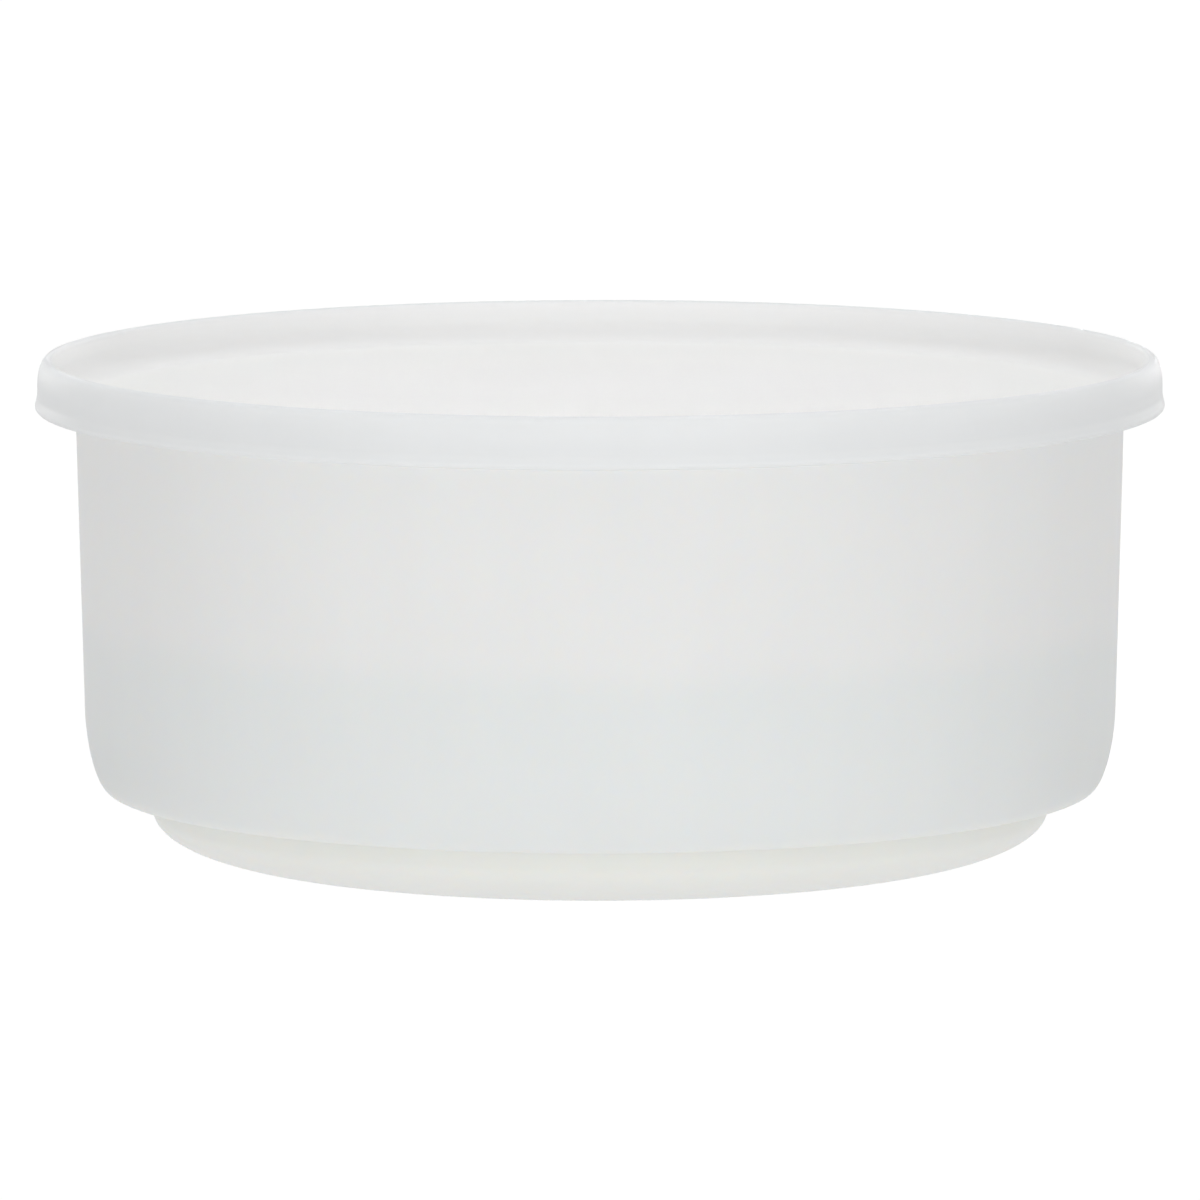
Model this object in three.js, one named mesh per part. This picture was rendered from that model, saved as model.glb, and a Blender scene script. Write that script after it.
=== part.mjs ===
// Round food tub with a press-in lid: two thin-walled mouldings, both turned
// about the +Z axis. Millimetres, +Z up, origin at the centre of the base.
import * as THREE from 'three';

// ---- Driving dimensions --------------------------------------------------
const SEGMENTS = 56;            // facets round each turned piece

// lid
const H_TOTAL = 53.05;          // top of the lid's rim above the base
const R_SKIRT = 59.9;           // skirt, outside
const R_LIP = 60.15;            // small outward lip along the skirt's lower edge
const SKIRT_H = 5.45;           // rim top to skirt bottom
const RIM_ROUND_OUT = 1.05;     // rounding of the rim's outer top edge, across
const RIM_ROUND_DOWN = 2.7;     // and down
const RIM_ROUND_IN = 0.45;      // rounding of the rim's inner top edge
const R_RIM_IN_TOP = 58.3;      // inside of the standing rim, at its top
const R_RIM_IN_LOW = 58.0;      // and at the panel (drafted)
const RECESS = 4.35;            // panel below the rim top
const PANEL_FILLET = 2.6;       // where the panel meets the rim
const T_PANEL = 1.0;            // panel thickness
const R_PLUG_TOP = 54.05;       // plug ring under the panel, outside, at the panel
const R_PLUG_LOW = 53.9;        // and at its lower edge
const T_PLUG = 1.3;
const PLUG_H = 4.2;             // plug ring below the panel's underside

// tub
const R_WALL_TOP = 55.83;       // outside of the wall under the skirt
const R_WALL_LOW = 55.02;       // outside of the wall where it starts to tuck in
const Z_WALL_LOW = 15.5;
const T_TUB = 1.4;              // tub wall
const RIM_GAP = 0.3;            // tub rim to the underside of the lid's panel
const Z_STEP = 7.0;             // underside of the tucked-in corner
const R_STEP = 52.5;            // where the corner becomes the underside
const TUCK_DOWN = 4.2;          // reach of the tuck's upper tangent
const TUCK_IN = 1.2;            // reach of the tuck's lower tangent
const R_FOOT = 47.8;            // foot, outside
const Z_FOOT_ROUND = 4.6;       // height of the foot's rounded edge
const R_REST = 36.0;            // outer radius of the flat the tub stands on
const R_REST_IN = 29.5;         // inner radius of that flat
const CENTRE_RISE = 0.5;        // the base's middle stands clear by this
const R_GATE = 1.7;             // moulding gate mark at the base's centre
const GATE_DROP = 0.3;
const Z_FLOOR = 1.9;            // inside floor

// ---- Section helpers -----------------------------------------------------
const P = (r, z) => new THREE.Vector2(r, z);

// Points on an elliptical arc about (cr, cz), degrees, ends included.
function arc(cr, cz, rr, rz, a0, a1, n) {
  const pts = [];
  for (let i = 0; i <= n; i++) {
    const a = THREE.MathUtils.degToRad(a0 + (a1 - a0) * i / n);
    pts.push(P(cr + rr * Math.cos(a), cz + rz * Math.sin(a)));
  }
  return pts;
}

// Points on a cubic curve, ends included.
function cubic(p0, p1, p2, p3, n) {
  return new THREE.CubicBezierCurve(p0, p1, p2, p3).getPoints(n);
}

// Turns a section (radius, height) about +Z into one welded closed solid.
function turned(section) {
  const lathe = new THREE.LatheGeometry(section, SEGMENTS);
  lathe.rotateX(Math.PI / 2);
  const src = lathe.getAttribute('position');
  const index = lathe.getIndex();
  const seen = new Map();
  const verts = [];
  const remap = [];
  for (let i = 0; i < src.count; i++) {
    const v = [src.getX(i), src.getY(i), src.getZ(i)];
    const key = v.map((c) => Math.round(c * 1e4)).join(',');
    if (!seen.has(key)) {
      seen.set(key, verts.length / 3);
      verts.push(...v);
    }
    remap.push(seen.get(key));
  }
  const tris = [];
  let volume = 0;
  for (let i = 0; i < index.count; i += 3) {
    const [a, b, c] = [0, 1, 2].map((k) => remap[index.getX(i + k)]);
    if (a === b || b === c || c === a) continue;
    tris.push([a, b, c]);
    const [va, vb, vc] = [a, b, c].map((k) => new THREE.Vector3().fromArray(verts, 3 * k));
    volume += va.dot(vb.cross(vc)) / 6;
  }
  const out = new THREE.BufferGeometry();
  out.setAttribute('position', new THREE.Float32BufferAttribute(verts, 3));
  out.setIndex(tris.flatMap(([a, b, c]) => (volume > 0 ? [a, b, c] : [a, c, b])));
  out.computeVertexNormals();
  return out;
}

// ---- Tub section ---------------------------------------------------------
const Z_SKIRT = H_TOTAL - SKIRT_H;                 // lower edge of the lid's skirt
const Z_PANEL = H_TOTAL - RECESS;                  // top of the lid's panel
const Z_UNDER = Z_PANEL - T_PANEL;                 // underside of the lid's panel
const Z_RIM = Z_UNDER - RIM_GAP;                   // top of the tub's rim
const DRAFT = (R_WALL_TOP - R_WALL_LOW) / (Z_SKIRT - Z_WALL_LOW);
const wallAt = (z) => R_WALL_LOW + DRAFT * (z - Z_WALL_LOW);
const EDGE = 0.45;                                 // rounding of the rim's edges
const FOOT_R = R_FOOT - R_REST;                    // width of the foot's rounded edge
const IN = T_TUB;
const R_WELL = R_FOOT - IN;                        // inside of the foot
const Z_WELL_ROUND = Z_FLOOR + 3.6;                // rounded edge of the inside floor
const WELL_R = 10.6;
const Z_SHELF = Z_STEP + IN;                       // inside step over the foot

const tubSection = [
  // base, from the axis outwards
  P(0, CENTRE_RISE - GATE_DROP), P(R_GATE - 0.3, CENTRE_RISE - GATE_DROP), P(R_GATE, CENTRE_RISE),
  P(R_REST_IN - 0.5, CENTRE_RISE), P(R_REST_IN, 0),
  // foot
  ...arc(R_FOOT - FOOT_R, Z_FOOT_ROUND, FOOT_R, Z_FOOT_ROUND, -90, 0, 7),
  ...arc(R_FOOT + 0.5, Z_STEP - 0.5, 0.5, 0.5, 180, 90, 2),
  // underside and tucked-in corner
  ...cubic(P(R_STEP, Z_STEP), P(R_STEP + TUCK_IN, Z_STEP),
    P(R_WALL_LOW - DRAFT * TUCK_DOWN, Z_WALL_LOW - TUCK_DOWN), P(R_WALL_LOW, Z_WALL_LOW), 7),
  // wall up to the rim
  ...arc(wallAt(Z_RIM) - EDGE, Z_RIM - EDGE, EDGE, EDGE, 0, 90, 3),
  // mouth and down the inside
  ...arc(wallAt(Z_RIM) - IN + EDGE, Z_RIM - EDGE, EDGE, EDGE, 90, 180, 2),
  ...cubic(P(R_WALL_LOW - IN, Z_WALL_LOW), P(R_WALL_LOW - IN - DRAFT * TUCK_DOWN, Z_WALL_LOW - TUCK_DOWN),
    P(R_STEP - 0.9 + TUCK_IN, Z_SHELF), P(R_STEP - 0.9, Z_SHELF), 6),
  ...arc(R_WELL + 0.7, Z_SHELF - 0.7, 0.7, 0.7, 90, 180, 2),
  ...arc(R_WELL - WELL_R, Z_WELL_ROUND, WELL_R, Z_WELL_ROUND - Z_FLOOR, 0, -90, 6),
  P(0, Z_FLOOR),
];

// ---- Lid section ---------------------------------------------------------
const Z_PLUG = Z_UNDER - PLUG_H;                   // lower edge of the plug ring
const LOW = 0.45;                                  // rounding of the skirt's lower edge

const lidSection = [
  // panel underside from the axis outwards, then down and up round the plug ring
  P(0, Z_UNDER),
  ...arc(R_PLUG_TOP - T_PLUG - 0.7, Z_UNDER - 0.7, 0.7, 0.7, 90, 0, 3),
  ...arc(R_PLUG_LOW - T_PLUG + 0.35, Z_PLUG + 0.35, 0.35, 0.35, 180, 270, 2),
  ...arc(R_PLUG_LOW - 0.6, Z_PLUG + 0.6, 0.6, 0.6, -90, 0, 3),
  ...arc(R_PLUG_TOP + 0.25, Z_UNDER - 0.25, 0.25, 0.25, 180, 90, 2),
  // underside of the overhang, lower edge, lip and skirt
  P(R_SKIRT - 1.1, Z_UNDER), P(R_SKIRT - 0.8, Z_SKIRT),
  ...arc(R_LIP - LOW, Z_SKIRT + LOW, LOW, LOW, -90, 0, 3),
  P(R_LIP, Z_SKIRT + 0.55), P(R_SKIRT + 0.02, Z_SKIRT + 1.5),
  // standing rim, then down its inside to the panel
  ...arc(R_SKIRT - RIM_ROUND_OUT, H_TOTAL - RIM_ROUND_DOWN, RIM_ROUND_OUT, RIM_ROUND_DOWN, 0, 90, 6),
  ...arc(R_RIM_IN_TOP + RIM_ROUND_IN, H_TOTAL - RIM_ROUND_IN, RIM_ROUND_IN, RIM_ROUND_IN, 90, 180, 3),
  ...arc(R_RIM_IN_LOW - PANEL_FILLET, Z_PANEL + PANEL_FILLET, PANEL_FILLET, PANEL_FILLET, 0, -90, 6),
  P(0, Z_PANEL),
];

// ---- Assembly ------------------------------------------------------------
const milkyTub = new THREE.MeshStandardMaterial({ color: 0xe4e6e4, roughness: 0.42, metalness: 0 });
const milkyLid = new THREE.MeshStandardMaterial({ color: 0xe6e9e8, roughness: 0.4, metalness: 0 });

const tub = new THREE.Mesh(turned(tubSection), milkyTub);
tub.name = 'tub';

const lid = new THREE.Mesh(turned(lidSection), milkyLid);
lid.name = 'lid';

const container = new THREE.Group();
container.name = 'snack_container';
container.add(tub, lid);

export default container;
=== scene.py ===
"""Round milky-plastic snack tub with a press-in lid: fine surfaces, finish, studio and camera."""
import math

import bmesh
import bpy
from mathutils import Matrix, Vector


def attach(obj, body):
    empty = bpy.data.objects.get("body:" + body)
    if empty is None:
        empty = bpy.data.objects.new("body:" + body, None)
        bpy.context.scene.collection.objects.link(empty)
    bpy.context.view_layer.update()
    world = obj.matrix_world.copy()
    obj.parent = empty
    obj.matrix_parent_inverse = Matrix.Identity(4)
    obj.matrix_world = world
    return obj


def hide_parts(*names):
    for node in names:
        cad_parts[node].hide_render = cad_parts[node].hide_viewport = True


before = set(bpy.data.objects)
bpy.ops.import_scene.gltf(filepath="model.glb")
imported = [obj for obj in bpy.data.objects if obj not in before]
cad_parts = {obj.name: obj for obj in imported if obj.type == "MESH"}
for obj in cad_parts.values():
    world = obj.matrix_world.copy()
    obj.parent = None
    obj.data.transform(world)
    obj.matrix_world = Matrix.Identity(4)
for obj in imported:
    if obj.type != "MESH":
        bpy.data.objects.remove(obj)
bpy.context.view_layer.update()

scene = bpy.context.scene

# ---- Dimensions of the two mouldings, in millimetres ------------------------
H_TOTAL, R_SKIRT, R_LIP, SKIRT_H = 53.05, 59.9, 60.15, 5.45
RIM_ROUND_OUT, RIM_ROUND_DOWN, RIM_ROUND_IN = 1.05, 2.7, 0.45
R_RIM_IN_TOP, R_RIM_IN_LOW = 58.3, 58.0
RECESS, PANEL_FILLET, T_PANEL = 4.35, 2.6, 1.0
R_PLUG_TOP, R_PLUG_LOW, T_PLUG, PLUG_H = 54.05, 53.9, 1.3, 4.2

R_WALL_TOP, R_WALL_LOW, Z_WALL_LOW = 55.83, 55.02, 15.5
T_TUB, RIM_GAP = 1.4, 0.3
Z_STEP, R_STEP, TUCK_DOWN, TUCK_IN = 7.0, 52.5, 4.2, 1.2
R_FOOT, Z_FOOT_ROUND, R_REST, R_REST_IN = 47.8, 4.6, 36.0, 29.5
CENTRE_RISE, R_GATE, GATE_DROP, Z_FLOOR = 0.5, 1.7, 0.3, 1.9

Z_SKIRT = H_TOTAL - SKIRT_H
Z_PANEL = H_TOTAL - RECESS
Z_UNDER = Z_PANEL - T_PANEL
Z_RIM = Z_UNDER - RIM_GAP
Z_PLUG = Z_UNDER - PLUG_H
DRAFT = (R_WALL_TOP - R_WALL_LOW) / (Z_SKIRT - Z_WALL_LOW)
EDGE, LOW = 0.45, 0.45
FOOT_R = R_FOOT - R_REST
R_WELL = R_FOOT - T_TUB
Z_WELL_ROUND, WELL_R = Z_FLOOR + 3.6, 10.6
Z_SHELF = Z_STEP + T_TUB

SEGMENTS = 288


def wall_at(z):
    return R_WALL_LOW + DRAFT * (z - Z_WALL_LOW)


# ---- Sections: points are (radius, height, corner rounding) -----------------
def P(r, z, rounding=0.0):
    return [(r, z, rounding)]


def arc(cr, cz, rr, rz, a0, a1, n):
    out = []
    for i in range(n + 1):
        a = math.radians(a0 + (a1 - a0) * i / n)
        out.append((cr + rr * math.cos(a), cz + rz * math.sin(a), 0.0))
    return out


def cubic(p0, p1, p2, p3, n):
    out = []
    for i in range(n + 1):
        t = i / n
        w = ((1 - t) ** 3, 3 * t * (1 - t) ** 2, 3 * t * t * (1 - t), t ** 3)
        out.append((sum(k * p[0] for k, p in zip(w, (p0, p1, p2, p3))),
                    sum(k * p[1] for k, p in zip(w, (p0, p1, p2, p3))), 0.0))
    return out


def rounded(points, n=5):
    """Replaces each corner that has a rounding by an arc tangent to both its sides."""
    out = []
    for i, (r, z, rad) in enumerate(points):
        if not rad:
            out.append(Vector((r, z)))
            continue
        p = Vector((r, z))
        a = (Vector(points[i - 1][:2]) - p)
        b = (Vector(points[i + 1][:2]) - p)
        half = a.angle(b) / 2
        reach = min(rad / math.tan(half), 0.48 * a.length, 0.48 * b.length)
        rad = reach * math.tan(half)
        a.normalize(), b.normalize()
        mid = (a + b).normalized()
        centre = p + mid * (rad / math.sin(half))
        t0, t1 = p + a * reach - centre, p + b * reach - centre
        sweep = t0.angle_signed(t1)
        for k in range(n + 1):
            s = -sweep * k / n
            c, d = math.cos(s), math.sin(s)
            out.append(centre + Vector((c * t0.x - d * t0.y, d * t0.x + c * t0.y)))
    return out


def spaced(points, step=3.0, close=0.18):
    """Adds rings along the straight runs: one close to each end, the rest evenly."""
    out = [points[0]]
    for p, q in zip(points, points[1:]):
        gap = (q - p).length
        if gap < 1e-5:
            continue
        if gap > 1.3:
            u = (q - p) / gap
            inner = gap - 2 * close
            k = max(1, math.ceil(inner / step))
            out += [p + u * (close + inner * j / k) for j in range(k + 1)]
        out.append(q)
    return out


tub_section = spaced(rounded(
    # base, from the axis outwards: gate mark, clear middle, the flat it stands on
    P(0, CENTRE_RISE - GATE_DROP) + P(R_GATE - 0.3, CENTRE_RISE - GATE_DROP, 0.12) + P(R_GATE, CENTRE_RISE, 0.12)
    + P(R_REST_IN - 0.5, CENTRE_RISE, 0.5) + P(R_REST_IN, 0, 0.5)
    # foot
    + arc(R_FOOT - FOOT_R, Z_FOOT_ROUND, FOOT_R, Z_FOOT_ROUND, -90, 0, 26)
    + arc(R_FOOT + 0.5, Z_STEP - 0.5, 0.5, 0.5, 180, 90, 7)
    # underside and tucked-in corner
    + cubic((R_STEP, Z_STEP), (R_STEP + TUCK_IN, Z_STEP),
            (R_WALL_LOW - DRAFT * TUCK_DOWN, Z_WALL_LOW - TUCK_DOWN), (R_WALL_LOW, Z_WALL_LOW), 22)
    # wall up to the rim
    + arc(wall_at(Z_RIM) - EDGE, Z_RIM - EDGE, EDGE, EDGE, 0, 90, 7)
    # mouth and down the inside
    + arc(wall_at(Z_RIM) - T_TUB + EDGE, Z_RIM - EDGE, EDGE, EDGE, 90, 180, 6)
    + cubic((R_WALL_LOW - T_TUB, Z_WALL_LOW), (R_WALL_LOW - T_TUB - DRAFT * TUCK_DOWN, Z_WALL_LOW - TUCK_DOWN),
            (R_STEP - 0.9 + TUCK_IN, Z_SHELF), (R_STEP - 0.9, Z_SHELF), 18)
    + arc(R_WELL + 0.7, Z_SHELF - 0.7, 0.7, 0.7, 90, 180, 7)
    + arc(R_WELL - WELL_R, Z_WELL_ROUND, WELL_R, Z_WELL_ROUND - Z_FLOOR, 0, -90, 20)
    + P(0, Z_FLOOR)))

lid_section = spaced(rounded(
    # panel underside from the axis outwards, then down and up round the plug ring
    P(0, Z_UNDER)
    + arc(R_PLUG_TOP - T_PLUG - 0.7, Z_UNDER - 0.7, 0.7, 0.7, 90, 0, 8)
    + arc(R_PLUG_LOW - T_PLUG + 0.35, Z_PLUG + 0.35, 0.35, 0.35, 180, 270, 6)
    + arc(R_PLUG_LOW - 0.6, Z_PLUG + 0.6, 0.6, 0.6, -90, 0, 8)
    + arc(R_PLUG_TOP + 0.25, Z_UNDER - 0.25, 0.25, 0.25, 180, 90, 6)
    # underside of the overhang, lower edge, lip and skirt
    + P(R_SKIRT - 1.1, Z_UNDER, 0.1) + P(R_SKIRT - 0.8, Z_SKIRT, 0.1)
    + arc(R_LIP - LOW, Z_SKIRT + LOW, LOW, LOW, -90, 0, 9)
    + P(R_LIP, Z_SKIRT + 0.55, 0.6) + P(R_SKIRT + 0.02, Z_SKIRT + 1.5, 2.0)
    # standing rim, then down its inside to the panel
    + arc(R_SKIRT - RIM_ROUND_OUT, H_TOTAL - RIM_ROUND_DOWN, RIM_ROUND_OUT, RIM_ROUND_DOWN, 0, 90, 18)
    + arc(R_RIM_IN_TOP + RIM_ROUND_IN, H_TOTAL - RIM_ROUND_IN, RIM_ROUND_IN, RIM_ROUND_IN, 90, 180, 9)
    + arc(R_RIM_IN_LOW - PANEL_FILLET, Z_PANEL + PANEL_FILLET, PANEL_FILLET, PANEL_FILLET, 0, -90, 12)
    + P(0, Z_PANEL)))


def turned(name, section, body, node, material):
    """One closed mesh turned about +Z, smooth, riding on its body in place of its CAD node."""
    bm = bmesh.new()
    rings = []
    for p in section:
        r, z = p.x * 0.001, p.y * 0.001
        if r < 1e-7:
            rings.append([bm.verts.new((0.0, 0.0, z))])
        else:
            rings.append([bm.verts.new((r * math.cos(t), r * math.sin(t), z))
                          for t in (2 * math.pi * i / SEGMENTS for i in range(SEGMENTS))])
    for a, b in zip(rings, rings[1:]):
        for i in range(SEGMENTS):
            j = (i + 1) % SEGMENTS
            quad = [a[i % len(a)], a[j % len(a)], b[j % len(b)], b[i % len(b)]]
            bm.faces.new(list(dict.fromkeys(quad)))
    bmesh.ops.recalc_face_normals(bm, faces=bm.faces)
    mesh = bpy.data.meshes.new(name)
    bm.to_mesh(mesh)
    bm.free()
    mesh.shade_smooth()
    mesh.materials.append(material)
    obj = bpy.data.objects.new(name, mesh)
    scene.collection.objects.link(obj)
    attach(obj, body)
    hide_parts(node)
    return obj


# ---- Milky moulded plastic, with painted light and shade in its colour ------
def plastic(name, tone_and_painted_light, across, depth, gloss, passing, flow_scale, seed):
    """Colour bands of the plastic with painted light and shade in them: (place in mm, colour) along the height,
    or along the radius when across is set.
    """
    m = bpy.data.materials.new(name)
    m.use_nodes = True
    nt = m.node_tree
    nt.nodes.clear()
    link = nt.links.new

    def node(kind, **values):
        n = nt.nodes.new(kind)
        for k, v in values.items():
            setattr(n, k, v)
        return n

    out = node("ShaderNodeOutputMaterial")
    bsdf = node("ShaderNodeBsdfPrincipled")
    bsdf.subsurface_method = "RANDOM_WALK"
    bsdf.inputs["IOR"].default_value = 1.49
    bsdf.inputs["Specular IOR Level"].default_value = 0.5 if across else 0.3
    bsdf.inputs["Subsurface Weight"].default_value = 1.0
    bsdf.inputs["Subsurface Radius"].default_value = (1.02, 1.0, 0.98) if across else (1.12, 1.0, 0.87)
    bsdf.inputs["Subsurface Scale"].default_value = depth

    coord = node("ShaderNodeTexCoord")
    # soft clouding in the milky body of the plastic
    cloud = node("ShaderNodeTexNoise", noise_dimensions="4D")
    cloud.inputs["W"].default_value = seed
    cloud.inputs["Scale"].default_value = 38.0
    cloud.inputs["Detail"].default_value = 3.0
    cloud.inputs["Roughness"].default_value = 0.5
    link(coord.outputs["Object"], cloud.inputs["Vector"])
    # flow marks that run out from the gate: along the wall, and outwards across flat faces
    flat = node("ShaderNodeVectorMath", operation="MULTIPLY")
    flat.inputs[1].default_value = (1.0, 1.0, 0.0)
    link(coord.outputs["Object"], flat.inputs[0])
    around = node("ShaderNodeVectorMath", operation="NORMALIZE")
    link(flat.outputs[0], around.inputs[0])
    spread = node("ShaderNodeVectorMath", operation="SCALE")
    spread.inputs["Scale"].default_value = flow_scale
    link(around.outputs[0], spread.inputs[0])
    along = node("ShaderNodeVectorMath", operation="MULTIPLY_ADD")
    along.inputs[1].default_value = (20.0, 20.0, 34.0)
    link(coord.outputs["Object"], along.inputs[0])
    link(spread.outputs[0], along.inputs[2])
    flow = node("ShaderNodeTexNoise", noise_dimensions="4D")
    flow.inputs["W"].default_value = seed + 7.3
    flow.inputs["Scale"].default_value = 1.0
    flow.inputs["Detail"].default_value = 4.0
    flow.inputs["Roughness"].default_value = 0.55
    link(along.outputs[0], flow.inputs["Vector"])
    # fine satin grain of the mould
    grain = node("ShaderNodeTexNoise", noise_dimensions="4D")
    grain.inputs["W"].default_value = seed + 3.1
    grain.inputs["Scale"].default_value = 2600.0
    grain.inputs["Detail"].default_value = 2.0
    link(coord.outputs["Object"], grain.inputs["Vector"])

    # colour of the body in bands along the height or the radius, with painted light and shade in them; on the
    # tub the clouding shifts the band edges a little
    if across:
        reach = node("ShaderNodeVectorMath", operation="LENGTH")
        link(flat.outputs[0], reach.inputs[0])
        place = reach.outputs["Value"]
    else:
        split = node("ShaderNodeSeparateXYZ")
        link(coord.outputs["Object"], split.inputs[0])
        place = split.outputs["Z"]
    if not across:
        drift = node("ShaderNodeMath", operation="MULTIPLY_ADD")
        drift.inputs[1].default_value = 0.004
        link(cloud.outputs["Fac"], drift.inputs[0])
        link(place, drift.inputs[2])
        place = drift.outputs[0]
    scaled = node("ShaderNodeMath", operation="MULTIPLY")
    scaled.inputs[1].default_value = 1 / 0.064
    link(place, scaled.inputs[0])
    tone_and_painted_light_ramp = node("ShaderNodeValToRGB")
    tone_and_painted_light_ramp.color_ramp.interpolation = "EASE"
    lift = 0.0 if across else 2.0
    for i, (at, colour) in enumerate(tone_and_painted_light):
        e = tone_and_painted_light_ramp.color_ramp.elements[i] if i < 2 else tone_and_painted_light_ramp.color_ramp.elements.new(0.999)
        e.position = (at + lift) / 64.0
        e.color = (*colour, 1.0)
    link(scaled.outputs[0], tone_and_painted_light_ramp.inputs["Fac"])

    mixed = node("ShaderNodeMath", operation="MULTIPLY_ADD")
    mixed.inputs[1].default_value = 0.4
    link(flow.outputs["Fac"], mixed.inputs[0])
    half = node("ShaderNodeMath", operation="MULTIPLY")
    half.inputs[1].default_value = 0.6
    link(cloud.outputs["Fac"], half.inputs[0])
    link(half.outputs[0], mixed.inputs[2])
    tone = node("ShaderNodeMapRange")
    tone.inputs["From Min"].default_value = 0.3
    tone.inputs["From Max"].default_value = 0.7
    tone.inputs["To Min"].default_value = 0.988
    tone.inputs["To Max"].default_value = 1.012
    link(mixed.outputs[0], tone.inputs["Value"])
    body = node("ShaderNodeVectorMath", operation="SCALE")
    link(tone_and_painted_light_ramp.outputs["Color"], body.inputs[0])
    link(tone.outputs["Result"], body.inputs["Scale"])
    link(body.outputs[0], bsdf.inputs["Base Color"])

    sheen = node("ShaderNodeMapRange")
    sheen.inputs["From Min"].default_value = 0.3
    sheen.inputs["From Max"].default_value = 0.7
    sheen.inputs["To Min"].default_value, sheen.inputs["To Max"].default_value = gloss
    link(mixed.outputs[0], sheen.inputs["Value"])
    link(sheen.outputs["Result"], bsdf.inputs["Roughness"])

    ripple = node("ShaderNodeBump")
    ripple.inputs["Strength"].default_value = 0.02 if across else 0.08
    ripple.inputs["Distance"].default_value = 0.0002
    link(flow.outputs["Fac"], ripple.inputs["Height"])
    satin = node("ShaderNodeBump")
    satin.inputs["Strength"].default_value = 0.12
    satin.inputs["Distance"].default_value = 0.00004
    link(grain.outputs["Fac"], satin.inputs["Height"])
    link(ripple.outputs["Normal"], satin.inputs["Normal"])
    link(satin.outputs["Normal"], bsdf.inputs["Normal"])

    # milky walls let part of the light through, so what they shade isn't dark
    clear = node("ShaderNodeBsdfTransparent")
    clear.inputs["Color"].default_value = (1.0, 0.995, 0.985, 1.0) if across else (1.0, 0.985, 0.96, 1.0)
    path = node("ShaderNodeLightPath")
    share = node("ShaderNodeMath", operation="MULTIPLY")
    share.inputs[1].default_value = passing
    link(path.outputs["Is Shadow Ray"], share.inputs[0])
    both = node("ShaderNodeMixShader")
    link(share.outputs[0], both.inputs["Fac"])
    link(bsdf.outputs["BSDF"], both.inputs[1])
    link(clear.outputs["BSDF"], both.inputs[2])
    link(both.outputs[0], out.inputs["Surface"])
    return m


# tub colour bands up the height: the foot warmer as painted light that has come through the base, the lower wall
# darker and cooler as painted shade, the upper wall lighter and warmer as painted glow
tub_plastic = plastic("milky_tub", ((6.2, (0.862, 0.872, 0.845)), (8.2, (0.826, 0.848, 0.848)),
                                    (22.6, (0.826, 0.848, 0.848)), (27.6, (0.855, 0.862, 0.860))),
                      False, 0.0009, (0.37, 0.47), 0.52, 9.0, 2.0)
# lid colour bands out from the middle: a warm, bright panel middle as painted glow, the panel darker towards the
# rim as painted shade, the inside of the rim bright as painted light that has come through it, and the rim's
# crest, face and lip edge darker as painted shade
lid_plastic = plastic("milky_lid", ((34.0, (0.924, 0.927, 0.904)), (49.5, (0.893, 0.900, 0.886)),
                                    (55.2, (0.893, 0.900, 0.886)), (56.6, (0.990, 0.996, 0.995)),
                                    (57.8, (0.990, 0.996, 0.995)), (58.05, (0.976, 0.987, 0.987)),
                                    (58.25, (0.976, 0.987, 0.987)), (58.55, (0.800, 0.818, 0.828)),
                                    (59.0, (0.800, 0.818, 0.828)), (59.5, (0.836, 0.848, 0.853)),
                                    (59.98, (0.836, 0.848, 0.853)), (60.23, (0.800, 0.815, 0.820))),
                      True, 0.0012, (0.30, 0.36), 0.5, 8.0, 11.0)

tub = turned("tub_shell", tub_section, "tub", "tub", tub_plastic)
lid = turned("lid_shell", lid_section, "lid", "lid", lid_plastic)

# ---- Floor ------------------------------------------------------------------
floor_mesh = bpy.data.meshes.new("floor")
floor_mesh.from_pydata([(-30, -30, 0), (30, -30, 0), (30, 30, 0), (-30, 30, 0)], [], [(0, 1, 2, 3)])
floor = bpy.data.objects.new("floor", floor_mesh)
floor.location.z = -0.00005
scene.collection.objects.link(floor)
fm = bpy.data.materials.new("white_table")
fm.use_nodes = True
fn = fm.node_tree
fn.nodes.clear()


def floor_node(kind, **values):
    n = fn.nodes.new(kind)
    for k, v in values.items():
        setattr(n, k, v)
    return n


# white paper, lit so evenly that only a breath of shadow is left round the foot
f_out = floor_node("ShaderNodeOutputMaterial")
f_path = floor_node("ShaderNodeLightPath")
f_paper = floor_node("ShaderNodeBsdfDiffuse")
f_paper.inputs["Color"].default_value = (0.86, 0.86, 0.86, 1.0)
f_white = floor_node("ShaderNodeEmission")
f_white.inputs["Strength"].default_value = 1.07
f_seen = floor_node("ShaderNodeMixShader")
f_seen.inputs["Fac"].default_value = 0.86
fn.links.new(f_paper.outputs[0], f_seen.inputs[1])
fn.links.new(f_white.outputs[0], f_seen.inputs[2])
# painted bounce light: to all rays but the camera's the floor glows instead of reflecting the lamps
f_painted_bounce_glow = floor_node("ShaderNodeEmission")
# painted shadow: the glow is weaker beside the tub than in front of it and behind it, where the tub would shade
# the floor
f_coord = floor_node("ShaderNodeTexCoord")
f_split = floor_node("ShaderNodeSeparateXYZ")
fn.links.new(f_coord.outputs["Object"], f_split.inputs[0])
f_across = floor_node("ShaderNodeMath", operation="ABSOLUTE")
fn.links.new(f_split.outputs["X"], f_across.inputs[0])
f_reach = floor_node("ShaderNodeVectorMath", operation="LENGTH")
fn.links.new(f_coord.outputs["Object"], f_reach.inputs[0])
f_turn = floor_node("ShaderNodeMath", operation="DIVIDE")
fn.links.new(f_across.outputs[0], f_turn.inputs[0])
fn.links.new(f_reach.outputs["Value"], f_turn.inputs[1])


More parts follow.
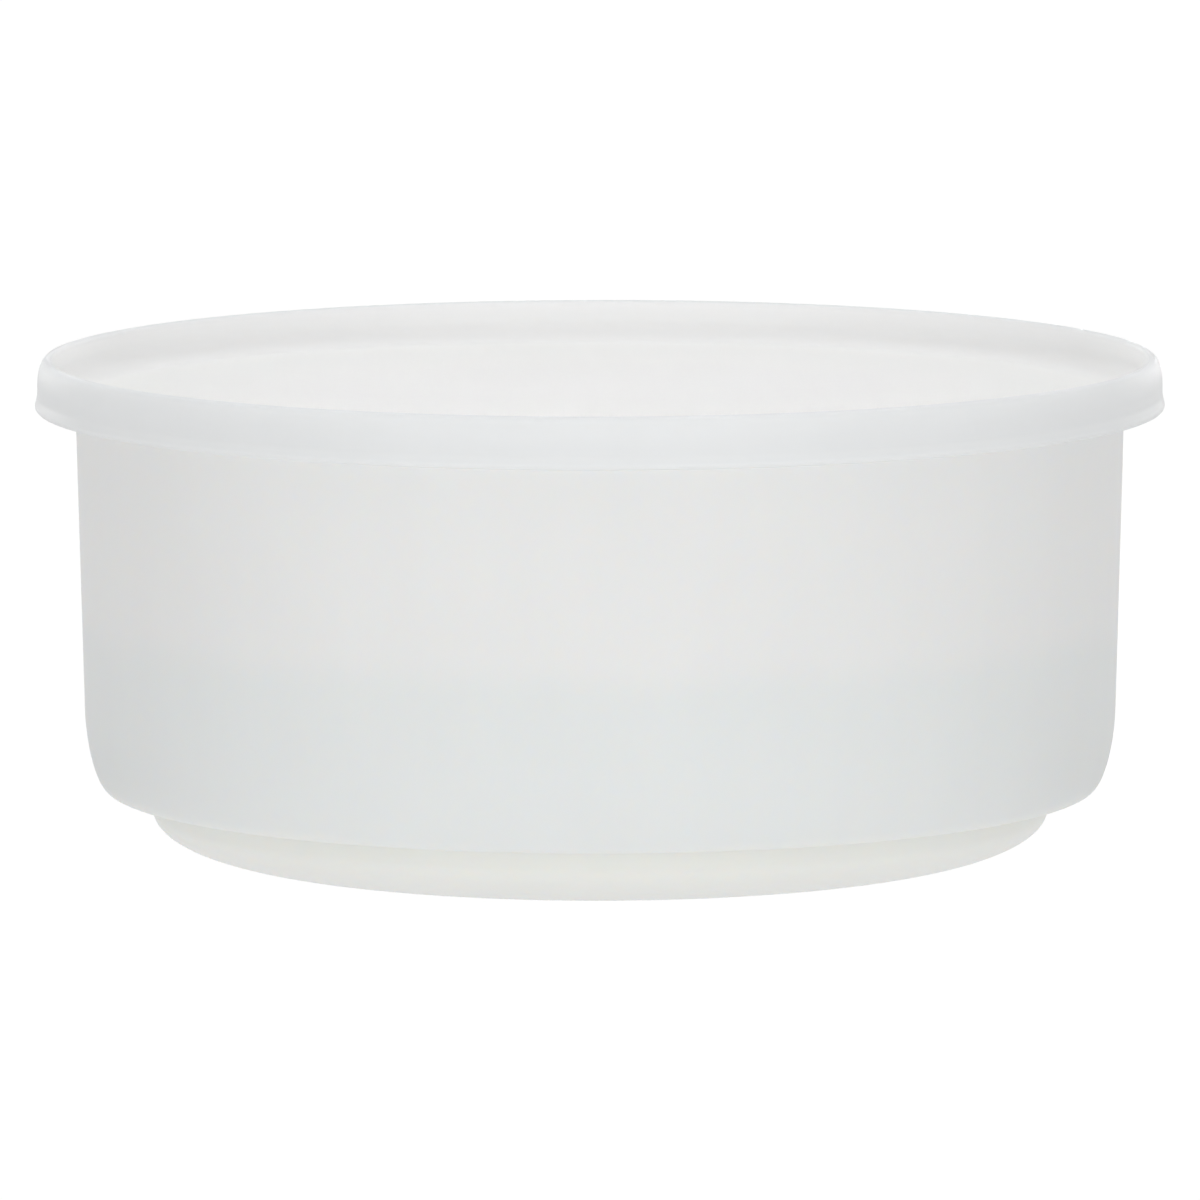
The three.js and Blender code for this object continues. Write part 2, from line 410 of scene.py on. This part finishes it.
def floor_ramp(socket, low, high, at_low, at_high):
    n = floor_node("ShaderNodeMapRange", interpolation_type="SMOOTHSTEP")
    n.inputs["From Min"].default_value, n.inputs["From Max"].default_value = low, high
    n.inputs["To Min"].default_value, n.inputs["To Max"].default_value = at_low, at_high
    fn.links.new(socket, n.inputs["Value"])
    return n.outputs["Result"]


def floor_times(a, b):
    n = floor_node("ShaderNodeMath", operation="MULTIPLY")
    fn.links.new(a, n.inputs[0])
    fn.links.new(b, n.inputs[1])
    return n.outputs[0]


f_painted_shadow_beside = floor_times(floor_ramp(f_turn.outputs[0], 0.60, 0.90, 0.0, 1.0),
                       floor_times(floor_ramp(f_reach.outputs["Value"], 0.056, 0.070, 0.0, 1.0),
                                   floor_ramp(f_reach.outputs["Value"], 0.14, 0.32, 1.0, 0.0)))
f_level = floor_node("ShaderNodeMapRange")
f_level.inputs["To Min"].default_value = 0.81
f_level.inputs["To Max"].default_value = 0.64
fn.links.new(f_painted_shadow_beside, f_level.inputs["Value"])
fn.links.new(f_level.outputs["Result"], f_painted_bounce_glow.inputs["Strength"])
f_side = floor_node("ShaderNodeMixShader")
fn.links.new(f_path.outputs["Is Camera Ray"], f_side.inputs["Fac"])
fn.links.new(f_painted_bounce_glow.outputs[0], f_side.inputs[1])
fn.links.new(f_seen.outputs[0], f_side.inputs[2])
# from underneath the paper isn't there, so that the base can be looked at
f_geo = floor_node("ShaderNodeNewGeometry")
f_none = floor_node("ShaderNodeBsdfTransparent")
f_all = floor_node("ShaderNodeMixShader")
fn.links.new(f_geo.outputs["Backfacing"], f_all.inputs["Fac"])
fn.links.new(f_side.outputs[0], f_all.inputs[1])
fn.links.new(f_none.outputs[0], f_all.inputs[2])
fn.links.new(f_all.outputs[0], f_out.inputs["Surface"])
fm.cycles.emission_sampling = "NONE"
floor_mesh.materials.append(fm)

# ---- Studio: white surroundings and plain soft boxes on all sides ----------------
world = bpy.data.worlds.new("studio")
world.use_nodes = True
scene.world = world
world.cycles.sampling_method = "NONE"
wn = world.node_tree
bg = wn.nodes["Background"]
bg.inputs["Color"].default_value = (1.0, 1.0, 1.0, 1.0)
w_path = wn.nodes.new("ShaderNodeLightPath")
w_level = wn.nodes.new("ShaderNodeMapRange")
w_level.inputs["To Min"].default_value = 0.33
w_level.inputs["To Max"].default_value = 1.05
wn.links.new(w_path.outputs["Is Camera Ray"], w_level.inputs["Value"])
wn.links.new(w_level.outputs["Result"], bg.inputs["Strength"])


def softbox(name, place, aim, width, height, level):
    """A white panel of even brightness; level 1 is as bright as the floor is seen."""
    data = bpy.data.lights.new(name, "AREA")
    data.shape = "RECTANGLE"
    data.size, data.size_y = width, height
    data.energy = math.pi * width * height * level
    data.cycles.use_multiple_importance_sampling = False
    o = bpy.data.objects.new(name, data)
    scene.collection.objects.link(o)
    o.location = place
    o.rotation_mode = "QUATERNION"
    o.rotation_quaternion = (Vector(aim) - Vector(place)).to_track_quat("-Z", "Y")
    o.visible_camera = False
    return o


softbox("front_low_box", (0, -1.3, 0.16), (0, 0, 0.16), 2.6, 0.32, 1.46)
softbox("front_box", (0, -1.3, 0.72), (0, 0, 0.03), 2.6, 0.8, 0.60)
softbox("top_front_box", (0, -0.55, 1.2), (0, 0, 0.03), 2.0, 1.05, 0.68)
softbox("top_back_box", (0, 0.55, 1.2), (0, 0, 0.03), 2.0, 1.05, 0.66)
softbox("back_box", (0, 1.3, 0.72), (0, 0, 0.03), 2.6, 0.8, 0.57)
softbox("back_low_box", (0, 1.3, 0.16), (0, 0, 0.16), 2.6, 0.32, 0.90)
softbox("left_box", (-1.3, 0, 0.45), (0, 0, 0.1), 2.0, 0.9, 0.31)
softbox("right_box", (1.3, 0, 0.45), (0, 0, 0.1), 2.0, 0.9, 0.36)

# ---- Camera -----------------------------------------------------------------
AIM = Vector((-0.00001, 0.0, 0.026856))
DIST, ELEV, ROLL = 1.4614, 0.12348, -0.00118
back = Vector((0.0, -math.cos(ELEV), math.sin(ELEV)))
right = Vector((1.0, 0.0, 0.0))
up = back.cross(right)
c, s = math.cos(ROLL), math.sin(ROLL)
right, up = c * right + s * up, -s * right + c * up
cam_data = bpy.data.cameras.new("camera")
cam_data.sensor_fit = "HORIZONTAL"
cam_data.sensor_width = 36.0
cam_data.lens = 410.7
cam_data.clip_start, cam_data.clip_end = 0.05, 100.0
cam = bpy.data.objects.new("camera", cam_data)
scene.collection.objects.link(cam)
cam.matrix_world = Matrix.Translation(AIM + back * DIST) @ Matrix((right, up, back)).transposed().to_4x4()
scene.camera = cam

# ---- Light paths and colour -------------------------------------------------
scene.cycles.max_bounces = 24
scene.cycles.diffuse_bounces = 16
scene.cycles.glossy_bounces = 6
scene.cycles.transparent_max_bounces = 12
scene.cycles.use_denoising = True
scene.view_settings.view_transform = "Standard"
scene.view_settings.look = "None"
scene.view_settings.exposure = 0.0
scene.view_settings.gamma = 1.0
